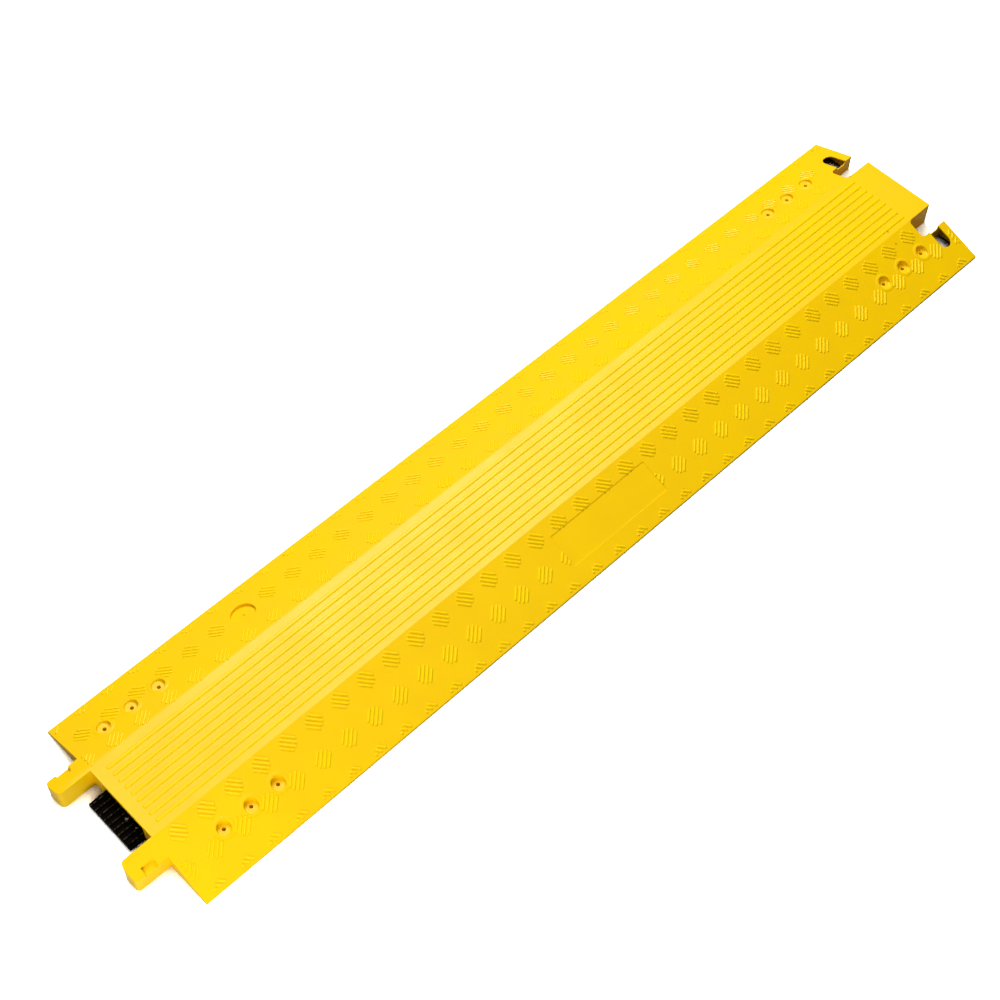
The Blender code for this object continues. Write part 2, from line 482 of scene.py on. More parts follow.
@dataclass(frozen=True)
class PlasticFinish:
    """One moulded plastic with its colour, gloss, grain and marks, and painted highlight lines along its
    crests where a crest height is set.
    """

    name: str
    colour: Point
    deep_colour: Point
    speck_colour: Point
    scuff_colour: Point
    roughness: float
    spread: float = 0.12
    cloud_scale: float = 26.0
    grain_scale: float = 900.0
    grain_depth: float = 0.00006
    speck_scale: float = 55.0
    speck_size: float = 0.035
    speck_share: float = 0.12
    scuff_scale: float = 260.0
    scuff_least: float = 0.64
    scuff_strength: float = 0.35
    scuff_turn: Point = (0.0, 0.0, 0.9)
    scuff_dulling: float = 0.3
    specular: float = 0.5
    marks: tuple[Point, ...] = ()
    mark_colour: Point = (0.5, 0.5, 0.5)
    mark_scale: float = 900.0
    mark_noise: Plan = (0.3, 0.7)
    mark_ragged: Plan = (0.6, 1.4)
    # Painted highlight: light broken lines above this height, standing in for light caught on the rib
    # crests.
    crest_height: float = 0.0
    crest_highlight_colour: Point = (0.5, 0.5, 0.5)
    highlight_scale: float = 420.0
    highlight_stretch: Point = (1.0, 0.4, 0.0)
    highlight_range: Plan = (0.47, 0.55)

    def add_marks(self, bench: NodeBench, place: object, colour: object) -> object:
        """Lay the single marks over a colour. Each is a plan place and a radius."""
        flat = bench.vector("MULTIPLY", place, (1.0, 1.0, 0.0))
        ragged = bench.remap(bench.noise(place, self.mark_scale, 1.0), *self.mark_noise, *self.mark_ragged)
        for x, y, radius in self.marks:
            away = bench.vector("DISTANCE", flat.outputs[0], (x, y, 0.0))
            inside = bench.maths("LESS_THAN", bench.maths("MULTIPLY", away.outputs["Value"], ragged), radius)
            colour = bench.blend(inside, colour, (*self.mark_colour, 1.0))
        return colour

    def add_crest_highlight(self, bench: NodeBench, place: object, colour: object) -> object:
        """Paint broken highlight lines over everything higher than the crest height: painted highlights
        standing in for light caught on the rib crests.
        """
        axes = bench.add("SeparateXYZ")
        bench.feed(axes.inputs[0], place)
        above = bench.maths("GREATER_THAN", axes.outputs[2], self.crest_height)
        drawn = bench.vector("MULTIPLY", place, self.highlight_stretch)
        broken = bench.remap(bench.noise(drawn.outputs[0], self.highlight_scale, 2.0), *self.highlight_range, 0.0, 1.0)
        return bench.blend(bench.maths("MULTIPLY", above, broken), colour, (*self.crest_highlight_colour, 1.0))

    def build(self, effects: SurfaceEffects) -> Material:
        """Build the material.

        Args:
            effects: The shared shader groups.

        Returns:
            The material.
        """
        made = bpy.data.materials.new(self.name)
        made.use_nodes = True
        bench = NodeBench(made.node_tree)
        shader = made.node_tree.nodes["Principled BSDF"]
        place = bench.add("TexCoord").outputs["Object"]
        skin = bench.fill(
            bench.add("Group", node_tree=effects.skin),
            Vector=place,
            Colour=(*self.colour, 1.0),
            Deep_Colour=(*self.deep_colour, 1.0),
            Cloud_Scale=self.cloud_scale,
            Grain_Scale=self.grain_scale,
            Roughness=self.roughness,
            Spread=self.spread,
        )
        specks = bench.fill(
            bench.add("Group", node_tree=effects.specks),
            Vector=place,
            Scale=self.speck_scale,
            Size=self.speck_size,
            Share=self.speck_share,
        )
        scuffs = bench.fill(
            bench.add("Group", node_tree=effects.scuffs),
            Vector=place,
            Scale=self.scuff_scale,
            Turn=self.scuff_turn,
            Least=self.scuff_least,
        )
        rubbed = bench.maths("MULTIPLY", scuffs.outputs["Mask"], self.scuff_strength)
        colour = bench.blend(rubbed, skin.outputs["Colour"], (*self.scuff_colour, 1.0))
        colour = bench.blend(specks.outputs["Mask"], colour, (*self.speck_colour, 1.0))
        # Painted highlight lines along the rib crests.
        if self.crest_height > 0.0:
            colour = self.add_crest_highlight(bench, place, colour)
        if self.marks:
            colour = self.add_marks(bench, place, colour)
        dulled = bench.maths("MULTIPLY", rubbed, self.scuff_dulling)
        gloss = bench.maths("ADD", skin.outputs["Roughness"], dulled, clamp=True)
        grain = bench.add("Bump")
        bench.fill(grain, Strength=1.0, Distance=self.grain_depth, Height=skin.outputs["Height"])
        bench.fill(shader, Base_Color=colour, Roughness=gloss, Normal=grain.outputs["Normal"])
        bench.fill(shader, Specular_IOR_Level=self.specular)
        return made


COVER_YELLOW = PlasticFinish(
    name="moulded_yellow",
    colour=(0.985, 0.619, 0.0003),
    deep_colour=(0.945, 0.580, 0.0002),
    speck_colour=(0.42, 0.26, 0.02),
    scuff_colour=(0.82, 0.50, 0.002),
    roughness=0.34,
    grain_depth=0.00009,
    specular=0.28,
    marks=(
        (0.5048, 0.1023, 0.0009),
        (0.3961, 0.0443, 0.0008),
        (0.4533, -0.0496, 0.0008),
        (0.4571, -0.0353, 0.0009),
        (0.4880, 0.0400, 0.0008),
    ),
    mark_colour=(0.33, 0.22, 0.03),
)
RIB_YELLOW = PlasticFinish(
    name="rib_yellow",
    colour=(0.97, 0.66, 0.0004),
    deep_colour=(0.94, 0.62, 0.0003),
    speck_colour=(0.45, 0.28, 0.02),
    scuff_colour=(0.85, 0.55, 0.002),
    roughness=0.26,
    scuff_strength=0.2,
    specular=0.18,
)
# The tread bars' plastic: the rib plastic made lighter and glossier. The lighter colour is painted light,
# standing in for the light that the bars' tops catch.
TREAD_YELLOW_PAINTED_LIGHT = replace(
    RIB_YELLOW,
    name="tread_yellow_painted_light",
    colour=(0.99, 0.69, 0.0004),
    deep_colour=(0.97, 0.66, 0.0003),
    scuff_strength=0.35,
    specular=0.34,
)
LINER_BLACK = PlasticFinish(
    name="liner_black",
    colour=(0.0020, 0.0016, 0.0010),
    deep_colour=(0.0012, 0.0010, 0.0006),
    speck_colour=(0.09, 0.07, 0.04),
    scuff_colour=(0.030, 0.025, 0.016),
    roughness=0.30,
    spread=0.08,
    grain_scale=1200.0,
    grain_depth=0.00002,
    speck_share=0.3,
    specular=0.02,
    marks=((-0.4846, -0.0054, 0.0014), (-0.4838, -0.0170, 0.0008)),
    mark_colour=(0.42, 0.34, 0.20),
    # Painted highlight: light broken lines along the tops of the liner's ribs.
    crest_height=0.00643,
    crest_highlight_colour=(0.085, 0.062, 0.030),
)


# ---------------------------------------------------------------- the cover


@dataclass
class CoverForm:
    """The cover's driving sizes, which every piece of it shares."""

    length: float = 1.000
    half_width: float = 0.107
    half_top: float = 0.0405
    height: float = 0.026
    edge_height: float = 0.002
    channel_half: float = 0.028
    channel_ceiling: float = 0.0215
    notch_start: float = 0.967
    notch_inner: float = 0.0405
    notch_outer: float = 0.0610
    notch_corner: float = 0.0045
    slot_start: float = 0.9768
    slot_end: float = 0.9903
    slot_outer: float = 0.0828
    screw_pitch: float = 0.02917
    screw_row: float = 0.0702
    screws_per_group: int = 3
    screw_starts: tuple[tuple[Side, float], ...] = (
        (Side.NEAR, 0.0495),
        (Side.NEAR, 0.8953),
        (Side.FAR, 0.0347),
        (Side.FAR, 0.8806),
    )
    screw_seat_radius: float = 0.0064
    seat_shift: float = 0.0008
    screw_seat_floor: float = 0.0117
    seat_dish: float = 0.0018
    hole_mouth_radius: float = 0.0018
    lip_radius: float = 0.0102
    lip_rise: float = 0.0004
    slot_skin: float = 0.0014
    slot_undercut: float = 0.0070
    disc_centre: Plan = (0.192, 0.0765)
    disc_radius: float = 0.0118
    panel_x: Plan = (0.441, 0.561)
    panel_y: Plan = (0.057, 0.089)
    module_start: float = field(init=False)

    def __post_init__(self) -> None:
        """Take the module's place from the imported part."""
        self.module_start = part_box("cover")[1].x - self.length

    @property
    def slope(self) -> float:
        """Fall of the ramp for each metre outward."""
        return (self.height - self.edge_height) / (self.half_width - self.half_top)

    @property
    def tilt(self) -> float:
        """Angle of the ramp in radians."""
        return math.atan(self.slope)

    def surface(self, y: float) -> float:
        """Return the top surface's height at a distance from the middle line."""
        return self.height - self.slope * max(abs(y) - self.half_top, 0.0)

    def place(self, item: Object) -> Object:
        """Move an object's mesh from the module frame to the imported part's frame."""
        item.data.transform(Matrix.Translation((self.module_start, 0.0, 0.0)))
        return item

    def on_slope(self, side: Side, centre: Plan) -> Matrix:
        """Return the frame of a spot on a slope.

        Args:
            side: Which slope.
            centre: The spot's x, and its distance from the middle line.

        Returns:
            A matrix whose x runs along the cover, y up or down the slope towards +y, and z outward.
        """
        turn = Matrix.Rotation(-side.value * self.tilt, 4, "X")
        return Matrix.Translation((centre[0], side.value * centre[1], self.surface(centre[1]))) @ turn

    def screw_centres(self) -> list[tuple[Side, Plan]]:
        """Return each fixing hole's slope and place."""
        centres = []
        for side, start in self.screw_starts:
            for step in range(self.screws_per_group):
                centres.append((side, (start + self.screw_pitch * step, self.screw_row)))
        return centres

    def seat_spots(self) -> list[Matrix]:
        """Return the frame of each screw seat, a little further down the slope than its hole."""
        return [self.on_slope(side, (x, y + self.seat_shift)) for side, (x, y) in self.screw_centres()]


@dataclass
class CoverMoulding:
    """The yellow moulding without its ribs and treads.

    The cut and clear heights only have to pass what they cut. The gaps say how near an edge's middle
    lies to a face, a part or the crest to count as on it. The rim levels are pairs of reach and
    height in roundings, and the lip levels in shares of the lip's radius and rise.
    """

    form: CoverForm
    tab_inner: float = 0.0405
    tab_outer: float = 0.0607
    pocket_inner: float = 0.0542
    pocket_x: Plan = (-0.0225, -0.010)
    pocket_depth: float = 0.0036
    pocket_corners: Plan = (0.0008, 0.0030)
    sill_thickness: float = 0.0009
    sill_top: float = 0.014
    sill_corner: float = 0.003
    disc_depth: float = 0.0030
    dimple_radius: float = 0.0012
    dimple_depth: float = 0.0006
    panel_depth: float = 0.0006
    panel_corner: float = 0.0008
    panel_chamfer: float = 0.0004
    edge_round: float = 0.0005
    rim_round: float = 0.00045
    tab_round: float = 0.0008
    overrun: float = 0.010
    lead: float = 0.040
    block_top: float = 0.050
    cut_bottom: float = -0.005
    cut_top: float = 0.040
    seat_top: float = 0.030
    slope_clear: float = 0.006
    overlap: float = 0.001
    mouth_reach: Plan = (0.003, 0.0005)
    panel_heights: Plan = (-0.00005, 0.002)
    tab_foot: Plan = (-0.0006, 0.006)
    base_gap: float = 0.0001
    edge_gap: float = 0.0002
    skin_gap: float = 0.0008
    part_gap: float = 0.001
    crest_gap: float = 0.0015
    crease: float = 50.0
    seat_sides: int = 36
    hole_sides: int = 28
    rim_sides: int = 48
    disc_sides: int = 60
    dimple_sides: int = 20
    tab_starts: Plan = (-0.0290, -0.0297)
    tab_tip: tuple[Plan, ...] = (
        *((-0.0303, 0.0408), (-0.0313, 0.0415), (-0.0321, 0.0424), (-0.0326, 0.0436), (-0.0330, 0.0450)),
        *((-0.0333, 0.0468), (-0.0335, 0.0500), (-0.0334, 0.0530), (-0.0332, 0.0560), (-0.0329, 0.0582)),
        *((-0.0324, 0.0594), (-0.0315, 0.0602), (-0.0306, 0.0606)),
    )
    rim_levels: tuple[Plan, ...] = ((-0.30, -1.6), (0.12, -0.62), (0.45, -0.22), (1.0, 0.02), (1.3, 0.6))
    lip_levels: tuple[Plan, ...] = (
        *((1.0, -0.8), (0.999, 0.02), (0.97, 0.14), (0.935, 0.38), (0.90, 0.66), (0.865, 0.88), (0.82, 1.0)),
    )

    def tab_outline(self) -> list[Plan]:
        """Return the far tab's plan from its inner root to its outer root."""
        inner = [(0.0, self.tab_inner), (self.tab_starts[0], self.tab_inner)]
        outer = [(self.tab_starts[1], self.tab_outer), (0.0, self.tab_outer)]
        return inner + list(self.tab_tip) + outer

    def notch_outline(self) -> list[Plan]:
        """Return the far notch's plan from its outer mouth to its inner mouth."""
        form = self.form
        radius = form.notch_corner
        middle = form.notch_start + radius
        outer = arc((middle, form.notch_outer - radius), radius, 90.0, 180.0, 10)
        inner = arc((middle, form.notch_inner + radius), radius, 180.0, 270.0, 10)
        return [(form.length, form.notch_outer)] + outer + inner + [(form.length, form.notch_inner)]

    def footprint(self) -> list[Plan]:
        """Return the whole plan with tabs and notches."""
        form = self.form
        over = form.half_width + self.overrun
        half = self.tab_outline() + [(0.0, over), (form.length, over)] + self.notch_outline()
        return half + [(x, -y) for x, y in reversed(half)]

    def section(self) -> list[Plan]:
        """Return the cross section, as y and z, with the open channel."""
        form = self.form
        half = [(form.channel_half, form.channel_ceiling), (form.channel_half, 0.0)]
        half += [(form.half_width, 0.0), (form.half_width, form.edge_height), (form.half_top, form.height)]
        return half + [(-y, z) for y, z in reversed(half)]

    def slot_outline(self, side: Side) -> list[Plan]:
        """Return a key slot's plan outside its sill, with a round outer end."""
        form = self.form
        middle = (form.slot_start + form.slot_end) / 2.0
        radius = (form.slot_end - form.slot_start) / 2.0
        start = form.notch_outer + self.sill_thickness
        outline = [(form.slot_end, start)]
        outline += arc((middle, form.slot_outer - radius), radius, 0.0, 180.0, 20)
        outline += [(form.slot_start, start)]
        return [(x, side.value * y) for x, y in outline]

    def blank(self) -> Object:
        """Return the extruded section, longer than the module."""
        return solid("cover_body", [extruded(self.section(), (-self.lead, self.form.length + self.overrun))])

    def footprint_block(self) -> Object:
        """Return the block that the blank is cut down to."""
        return solid("footprint_block", [upright(self.footprint(), -self.overrun, self.block_top)])

    def slots(self) -> Object:
        """Return the key slots' cutters."""
        outlines = [self.slot_outline(side) for side in Side]
        return solid("slots", [upright(outline, self.cut_bottom, self.cut_top) for outline in outlines])

    def seats(self) -> Object:
        """Return the cutters of the fixing holes' dished seats, a little further down the slope."""
        form = self.form
        floor, dish = form.screw_seat_floor, form.seat_dish
        profile = arc((form.screw_seat_radius - dish, floor + dish), dish, -90.0, 0.0, 6)
        profile.append((form.screw_seat_radius, self.seat_top))
        stacks = []
        for side, (x, y) in form.screw_centres():
            stacks.append(turned((x, side.value * (y + form.seat_shift)), profile, self.seat_sides))
        return solid("seats", stacks)

    def holes(self) -> Object:
        """Return the cutters of the fixing holes."""
        form = self.form
        heights = (self.cut_bottom, form.screw_seat_floor + self.overlap)
        profile = [(form.hole_mouth_radius, height) for height in heights]
        centres = [(x, side.value * y) for side, (x, y) in form.screw_centres()]
        return solid("holes", [turned(centre, profile, self.hole_sides) for centre in centres])

    def rims(self) -> Object:
        """Return the flared cutters that round the rims of the seats and of the round recess."""
        form = self.form
        stretched = 1.0 / math.cos(form.tilt)
        spots = [(spot, form.screw_seat_radius, form.lip_rise, stretched) for spot in form.seat_spots()]
        spots.append((form.on_slope(Side.FAR, form.disc_centre), form.disc_radius, 0.0, 1.0))
        stacks = []
        for spot, radius, top, stretch in spots:
            rings = []
            for flare, drop in self.rim_levels:
                ring = circle(radius + flare * self.rim_round, 1.0, self.rim_sides)
                rings.append(lift(spot, [(x, y * stretch) for x, y in ring], top + drop * self.rim_round))
            stacks.append(rings)
        return solid("rims", stacks)

    def lips(self) -> Object:
        """Return the low rounded lips that stand round the screw seats."""
        form = self.form
        stacks = []
        for spot in form.seat_spots():
            rings = []
            for reach, share in self.lip_levels:
                ring = circle(reach * form.lip_radius, 0.0, self.rim_sides)
                rings.append(lift(spot, ring, share * form.lip_rise))
            stacks.append(rings)
        return solid("seat_lips", stacks)

    def slot_hollows(self) -> Object:
        """Return the hollows below the key slots, which leave a thin skin above them."""
        form = self.form
        inner = form.notch_outer + self.sill_thickness
        outer = form.slot_outer + form.slot_undercut
        outline = [(inner, self.cut_bottom), (outer, self.cut_bottom)]
        outline += [(y, form.surface(y) - form.slot_skin) for y in (outer, inner)]
        ends = (form.slot_start - form.slot_undercut, form.slot_end + form.slot_undercut)
        sides = [[(side.value * y, z) for y, z in outline] for side in Side]
        return solid("slot_hollows", [extruded(section, ends) for section in sides])

    def slot_mouths(self) -> Object:
        """Return the cutters of the tab pockets and of the slot mouths."""
        return solid("slot_mouths", [make(side) for side in Side for make in (self.pocket, self.mouth)])

    def recesses(self) -> Object:
        """Return the cutters of the round recess and of the bare panel."""
        return solid("recesses", [self.disc(), self.panel()])

    def pocket(self, side: Side) -> Rings:
        """Return a tab pocket's rings, open outward, with its floor parallel to the slope."""
        tip_end, body_end = self.pocket_x
        tip_corner, body_corner = self.pocket_corners
        reach = self.tab_outer - self.pocket_inner + self.overrun
        plan = [(body_end, reach)] + arc((body_end - body_corner, body_corner), body_corner, 0.0, -90.0, 6)
        plan += arc((tip_end + tip_corner, tip_corner), tip_corner, -90.0, -180.0, 4) + [(tip_end, reach)]
        plan = [(x, side.value * y) for x, y in plan]
        spot = self.form.on_slope(side, (0.0, self.pocket_inner))
        return [lift(spot, plan, height) for height in (-self.pocket_depth, self.slope_clear)]

    def mouth(self, side: Side) -> Rings:
        """Return the rings of the slot's mouth over its sill, with rounded lower corners."""
        form = self.form
        radius = self.sill_corner
        low = arc((form.slot_end - radius, self.sill_top + radius), radius, 0.0, -90.0, 6)
        low += arc((form.slot_start + radius, self.sill_top + radius), radius, -90.0, -180.0, 6)
        outline = [(form.slot_end, self.cut_top)] + low + [(form.slot_start, self.cut_top)]
        before, behind = self.mouth_reach
        depths = (form.notch_outer - before, form.notch_outer + self.sill_thickness + behind)
        return [[(x, side.value * y, z) for x, z in outline] for y in depths]

    def disc(self) -> Rings:
        """Return the round recess's rings, its floor parallel to the slope."""
        spot = self.form.on_slope(Side.FAR, self.form.disc_centre)
        ring = circle(self.form.disc_radius, 3.0, self.disc_sides)
        return [lift(spot, ring, height) for height in (-self.disc_depth, self.slope_clear)]

    def panel(self) -> Rings:
        """Return the rings of the bare rectangular panel on the near slope."""
        form = self.form
        middle = (sum(form.panel_x) / 2.0, sum(form.panel_y) / 2.0)
        spot = form.on_slope(Side.NEAR, middle)
        half_x = (form.panel_x[1] - form.panel_x[0]) / 2.0
        half_y = (form.panel_y[1] - form.panel_y[0]) / 2.0 / math.cos(form.tilt)
        rings = []
        for height in (-self.panel_depth, *self.panel_heights):
            grow = 0.0 if height == -self.panel_depth else self.panel_chamfer
            radius = self.panel_corner + grow
            ring = []
            for sign_x, sign_y, start in ((1, 1, 0.0), (-1, 1, 90.0), (-1, -1, 180.0), (1, -1, 270.0)):
                corner = (sign_x * (half_x + grow - radius), sign_y * (half_y + grow - radius))
                ring += arc(corner, radius, start, start + 90.0, 4)
            rings.append(lift(spot, ring, height))
        return rings

    def on_tab(self, middle: Vector) -> bool:
        """Say whether an edge's middle lies on a tab, above its foot."""
        return middle.x < self.tab_foot[0] and middle.z > self.tab_foot[1]

    def on_outline(self, middle: Vector) -> bool:
        """Say whether an edge's middle lies on a slope's end or long side, a notch or a key slot."""
        form = self.form
        edge, part = self.edge_gap, self.part_gap
        away = abs(middle.y)
        if middle.z < self.base_gap or away < form.half_top + self.crest_gap or self.on_tab(middle):
            return False
        at_end = middle.x > form.length - edge or (middle.x < edge and away > self.tab_outer + part)
        at_side = away > form.half_width - edge
        in_key = middle.x > form.notch_start - part and away < form.slot_outer + part
        return at_end or at_side or (in_key and middle.z > form.surface(away) - self.skin_gap)

    def on_crest(self, middle: Vector) -> bool:
        """Say whether an edge's middle lies on one of the two lines where the slopes start."""
        near_line = abs(abs(middle.y) - self.form.half_top) < self.edge_gap
        return near_line and middle.z > self.form.height - self.edge_gap

    def dimple(self) -> Object:
        """Return the small dimple in the middle of the round recess."""
        spot = self.form.on_slope(Side.FAR, self.form.disc_centre)
        ring = circle(self.dimple_radius, 0.0, self.dimple_sides)
        heights = (-self.disc_depth - self.dimple_depth, -self.disc_depth + self.overlap)
        return solid("dimple", [[lift(spot, ring, height) for height in heights]])

    def build(self, finish: Material) -> Object:
        """Build and dress the moulding.

        Args:
            finish: Its material.

        Returns:
            The object.
        """
        item = self.blank()
        combine(item, self.footprint_block(), "INTERSECT")
        for cutter in (self.slot_hollows, self.slots, self.slot_mouths):
            combine(item, cutter(), "DIFFERENCE")
        round_edges(item.data, self.tab_round, 3, 30.0, self.on_tab)
        round_edges(item.data, self.edge_round, 2, 30.0, self.on_outline)
        combine(item, self.lips(), "UNION")
        for cutter in (self.seats, self.rims, self.holes, self.recesses, self.dimple):
            combine(item, cutter(), "DIFFERENCE")
        dress(self.form.place(item), finish, self.crease)
        points = item.data.vertices
        for edge in item.data.edges:
            middle = (points[edge.vertices[0]].co + points[edge.vertices[1]].co) / 2.0
            edge.use_edge_sharp = edge.use_edge_sharp or self.on_crest(middle)
        return item


@dataclass
class TopRibs:
    """The nine low ribs along the flat top."""

    form: CoverForm
    count: int = 9
    pitch: float = 0.0081
    width: float = 0.0038
    rise: float = 0.0008
    ends: Plan = (0.011, 0.9685)
    sink: float = 0.0003
    end_steps: int = 8
    crease: float = 60.0
    levels: tuple[Plan, ...] = (
        *((0.0, 0.08), (0.05, 0.34), (0.15, 0.60), (0.32, 0.81), (0.55, 0.95), (0.78, 1.0)),
    )

    def build(self, finish: Material) -> Object:
        """Build and dress the ribs.

        Args:
            finish: Their material.

        Returns:
            The object.
        """
        middle_x = sum(self.ends) / 2.0
        size = (self.ends[1] - self.ends[0], self.width, self.rise)
        stacks = []
        for index in range(self.count):
            middle_y = (index - (self.count - 1) / 2.0) * self.pitch
            rings = []
            for ring in bar(size, self.sink, self.levels, self.end_steps):
                rings.append([(middle_x + x, middle_y + y, self.form.height + z) for x, y, z in ring])
            stacks.append(rings)
        return dress(self.form.place(solid("top_ribs", stacks)), finish, self.crease)


@dataclass(frozen=True)
class TreadRow:
    """One row of tread patches along a slope."""

    side: Side
    distance: float
    first: float
    lean: Lean


@dataclass
class TreadPattern:
    """The round patches of four raised bars on both slopes."""

    form: CoverForm
    pitch: float = 0.02917
    crest_row: float = 0.0513
    middle_row: float = 0.0788
    outer_row: float = 0.1063
    last_far_patch: float = 0.960
    bar_gap: float = 0.0036
    inner_length: float = 0.0163
    outer_length: float = 0.0129
    bar_width: float = 0.0022
    bar_rise: float = 0.0009
    sink: float = 0.0002
    end_margin: float = 0.0030
    edge_margin: float = 0.0028
    crest_margin: float = 0.0020
    cut_margin: float = 0.0018
    seat_margin: float = 0.0020
    panel_margin: float = 0.0004
    least_length: float = 0.0018
    step: float = 0.00025
    end_steps: int = 5
    crease: float = 60.0
    levels: tuple[Plan, ...] = ((0.0, 0.12), (0.05, 0.42), (0.28, 0.70), (0.55, 0.90), (0.85, 1.0))

    def rows(self) -> list[TreadRow]:
        """Return the six rows, crest rows first."""
        return [
            TreadRow(Side.NEAR, self.crest_row, 0.0189, Lean.FALLING),
            TreadRow(Side.NEAR, self.middle_row, 0.0336, Lean.RISING),
            TreadRow(Side.NEAR, self.outer_row, 0.0189, Lean.FALLING),
            TreadRow(Side.FAR, self.crest_row, 0.0333, Lean.RISING),
            TreadRow(Side.FAR, self.middle_row, 0.0180, Lean.FALLING),
            TreadRow(Side.FAR, self.outer_row, 0.0333, Lean.RISING),
        ]

    def free(self, side: Side, x: float, y: float) -> bool:
        """Say whether a tread may stand at a spot.

        Args:
            side: Which slope.
            x: Place along the cover.
            y: Distance from the middle line.

        Returns:
            True where nothing else is moulded there.
        """
        form = self.form
        if not self.end_margin < x < form.length - self.end_margin:
            return False
        if not form.half_top + self.crest_margin < y < form.half_width - self.edge_margin:
            return False
        cut = self.cut_margin
        seat = form.screw_seat_radius + self.seat_margin
        if x > form.notch_start - cut and y < form.notch_outer + cut:
            return False
        if form.slot_start - cut < x < form.slot_end + cut and y < form.slot_outer + cut:
            return False
        for screw_side, (screw_x, screw_y) in form.screw_centres():
            if side is screw_side and math.hypot(x - screw_x, y - screw_y) < seat:
                return False
        if side is Side.FAR:
            return math.hypot(x - form.disc_centre[0], y - form.disc_centre[1]) > form.disc_radius + cut
        gap = self.panel_margin
        inside_x = form.panel_x[0] - gap < x < form.panel_x[1] + gap
        inside_y = form.panel_y[0] - gap < y < form.panel_y[1] + gap
        return not (inside_x and inside_y)

    def clip(self, side: Side, centre: Plan, run: Plan, half: float) -> tuple[float, float] | None:
        """Return the longest free stretch of a bar's middle line.

        Args:
            side: Which slope.
            centre: The bar's middle, as x and distance along the slope from the crest line.
            run: The bar's direction, in the same terms.
            half: Half of its full length.

        Returns:
            The stretch's two ends as distances from the middle, or None.
        """
        form = self.form
        best = None
        start = None
        steps = int(round(2.0 * half / self.step))
        for index in range(steps + 2):
            along = -half + index * self.step
            x = centre[0] + run[0] * along
            y = form.half_top + (centre[1] + run[1] * along) * math.cos(form.tilt)
            clear = index <= steps and self.free(side, x, y)
            if clear and start is None:
                start = along
            if not clear and start is not None:
                last = along - self.step
                if best is None or last - start > best[1] - best[0]:
                    best = (start, last)
                start = None
        if best is None or best[1] - best[0] < self.least_length:
            return None
        return best

    def patch(self, row: TreadRow, x: float) -> list[Rings]:
        """Return one patch's bars, each cut short where it meets another feature.

        Args:
            row: The patch's row.
            x: The patch's place along the cover.

        Returns:
            The rings of each bar.
        """
        form = self.form
        diagonal = math.sqrt(0.5)
        outward = row.side.value * row.lean.value
        run = (diagonal, diagonal * outward)
        across = (-run[1], run[0])
        middle = (x, (row.distance - form.half_top) / math.cos(form.tilt))
        turn = Matrix.Rotation(row.lean.value * math.pi / 4.0, 4, "Z")
        made = []
        for place in (-1.5, -0.5, 0.5, 1.5):
            full = self.outer_length if abs(place) > 1.0 else self.inner_length
            offset = place * self.bar_gap
            centre = (middle[0] + across[0] * offset, middle[1] + across[1] * offset)
            stretch = self.clip(row.side, centre, run, full / 2.0)
            if stretch is None:
                continue
            half = sum(stretch) / 2.0
            at_x = centre[0] + run[0] * half
            at_y = form.half_top + (centre[1] + run[1] * half) * math.cos(form.tilt)
            spot = form.on_slope(row.side, (at_x, at_y)) @ turn
            size = (stretch[1] - stretch[0], self.bar_width, self.bar_rise)
            rings = bar(size, self.sink, self.levels, self.end_steps)
            made.append([[tuple(spot @ Vector(point)) for point in ring] for ring in rings])
        return made

    def wanted(self, row: TreadRow, x: float) -> bool:
        """Say whether a patch stands at a place of its row."""
        if row.side is Side.NEAR or row.distance == self.outer_row:
            return True
        away = abs(x - self.form.disc_centre[0])
        beside_disc = row.distance == self.middle_row and away < self.pitch / 2.0
        return not beside_disc and x < self.last_far_patch

    def build(self, finish: Material) -> Object:
        """Build and dress the treads.

        Args:
            finish: Their material.

        Returns:
            The object.
        """
        bars = []
        for row in self.rows():
            place = row.first - self.pitch
            while place < self.form.length + self.pitch:
                if self.wanted(row, place):
                    bars += self.patch(row, place)
                place += self.pitch
        LOG.info("tread bars: %d", len(bars))
        return dress(self.form.place(solid("tread_bars", bars)), finish, self.crease)


@dataclass
class ChannelLiner:
    """The black ribbed strip in the cable channel."""

    half_width: float = 0.0277
    base: float = 0.0050
    top: float = 0.0065
    rib_count: int = 9
    rib_pitch: float = 0.00615
    rib_width: float = 0.0026
    edge_round: float = 0.0004
    round_from: float = 60.0
    crease: float = 50.0
    flank_steps: int = 6

    def section(self) -> list[Plan]:
        """Return the section, as y and z: a slab with rounded ribs on top."""
        outline = [(-self.half_width, 0.0), (self.half_width, 0.0), (self.half_width, self.base)]
        rise = self.top - self.base
        for index in range(self.rib_count - 1, -1, -1):
            middle = (index - (self.rib_count - 1) / 2.0) * self.rib_pitch
            for step in range(2 * self.flank_steps + 1):
                angle = math.pi * step / (2 * self.flank_steps)
                y = middle + self.rib_width / 2.0 * math.cos(angle)
                outline.append((y, self.base + rise * math.sin(angle)))
        outline.append((-self.half_width, self.base))
        return outline

    def build(self, finish: Material) -> Object:
        """Build and dress the strip.

        Args:
            finish: Its material.

        Returns:
            The object.
        """
        low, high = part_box("channel_liner")
        item = solid("channel_liner_strip", [extruded(self.section(), (low.x, high.x))])
        round_edges(item.data, self.edge_round, 2, self.round_from, lambda middle: True)
        return dress(item, finish, self.crease)


# ---------------------------------------------------------------- the studio


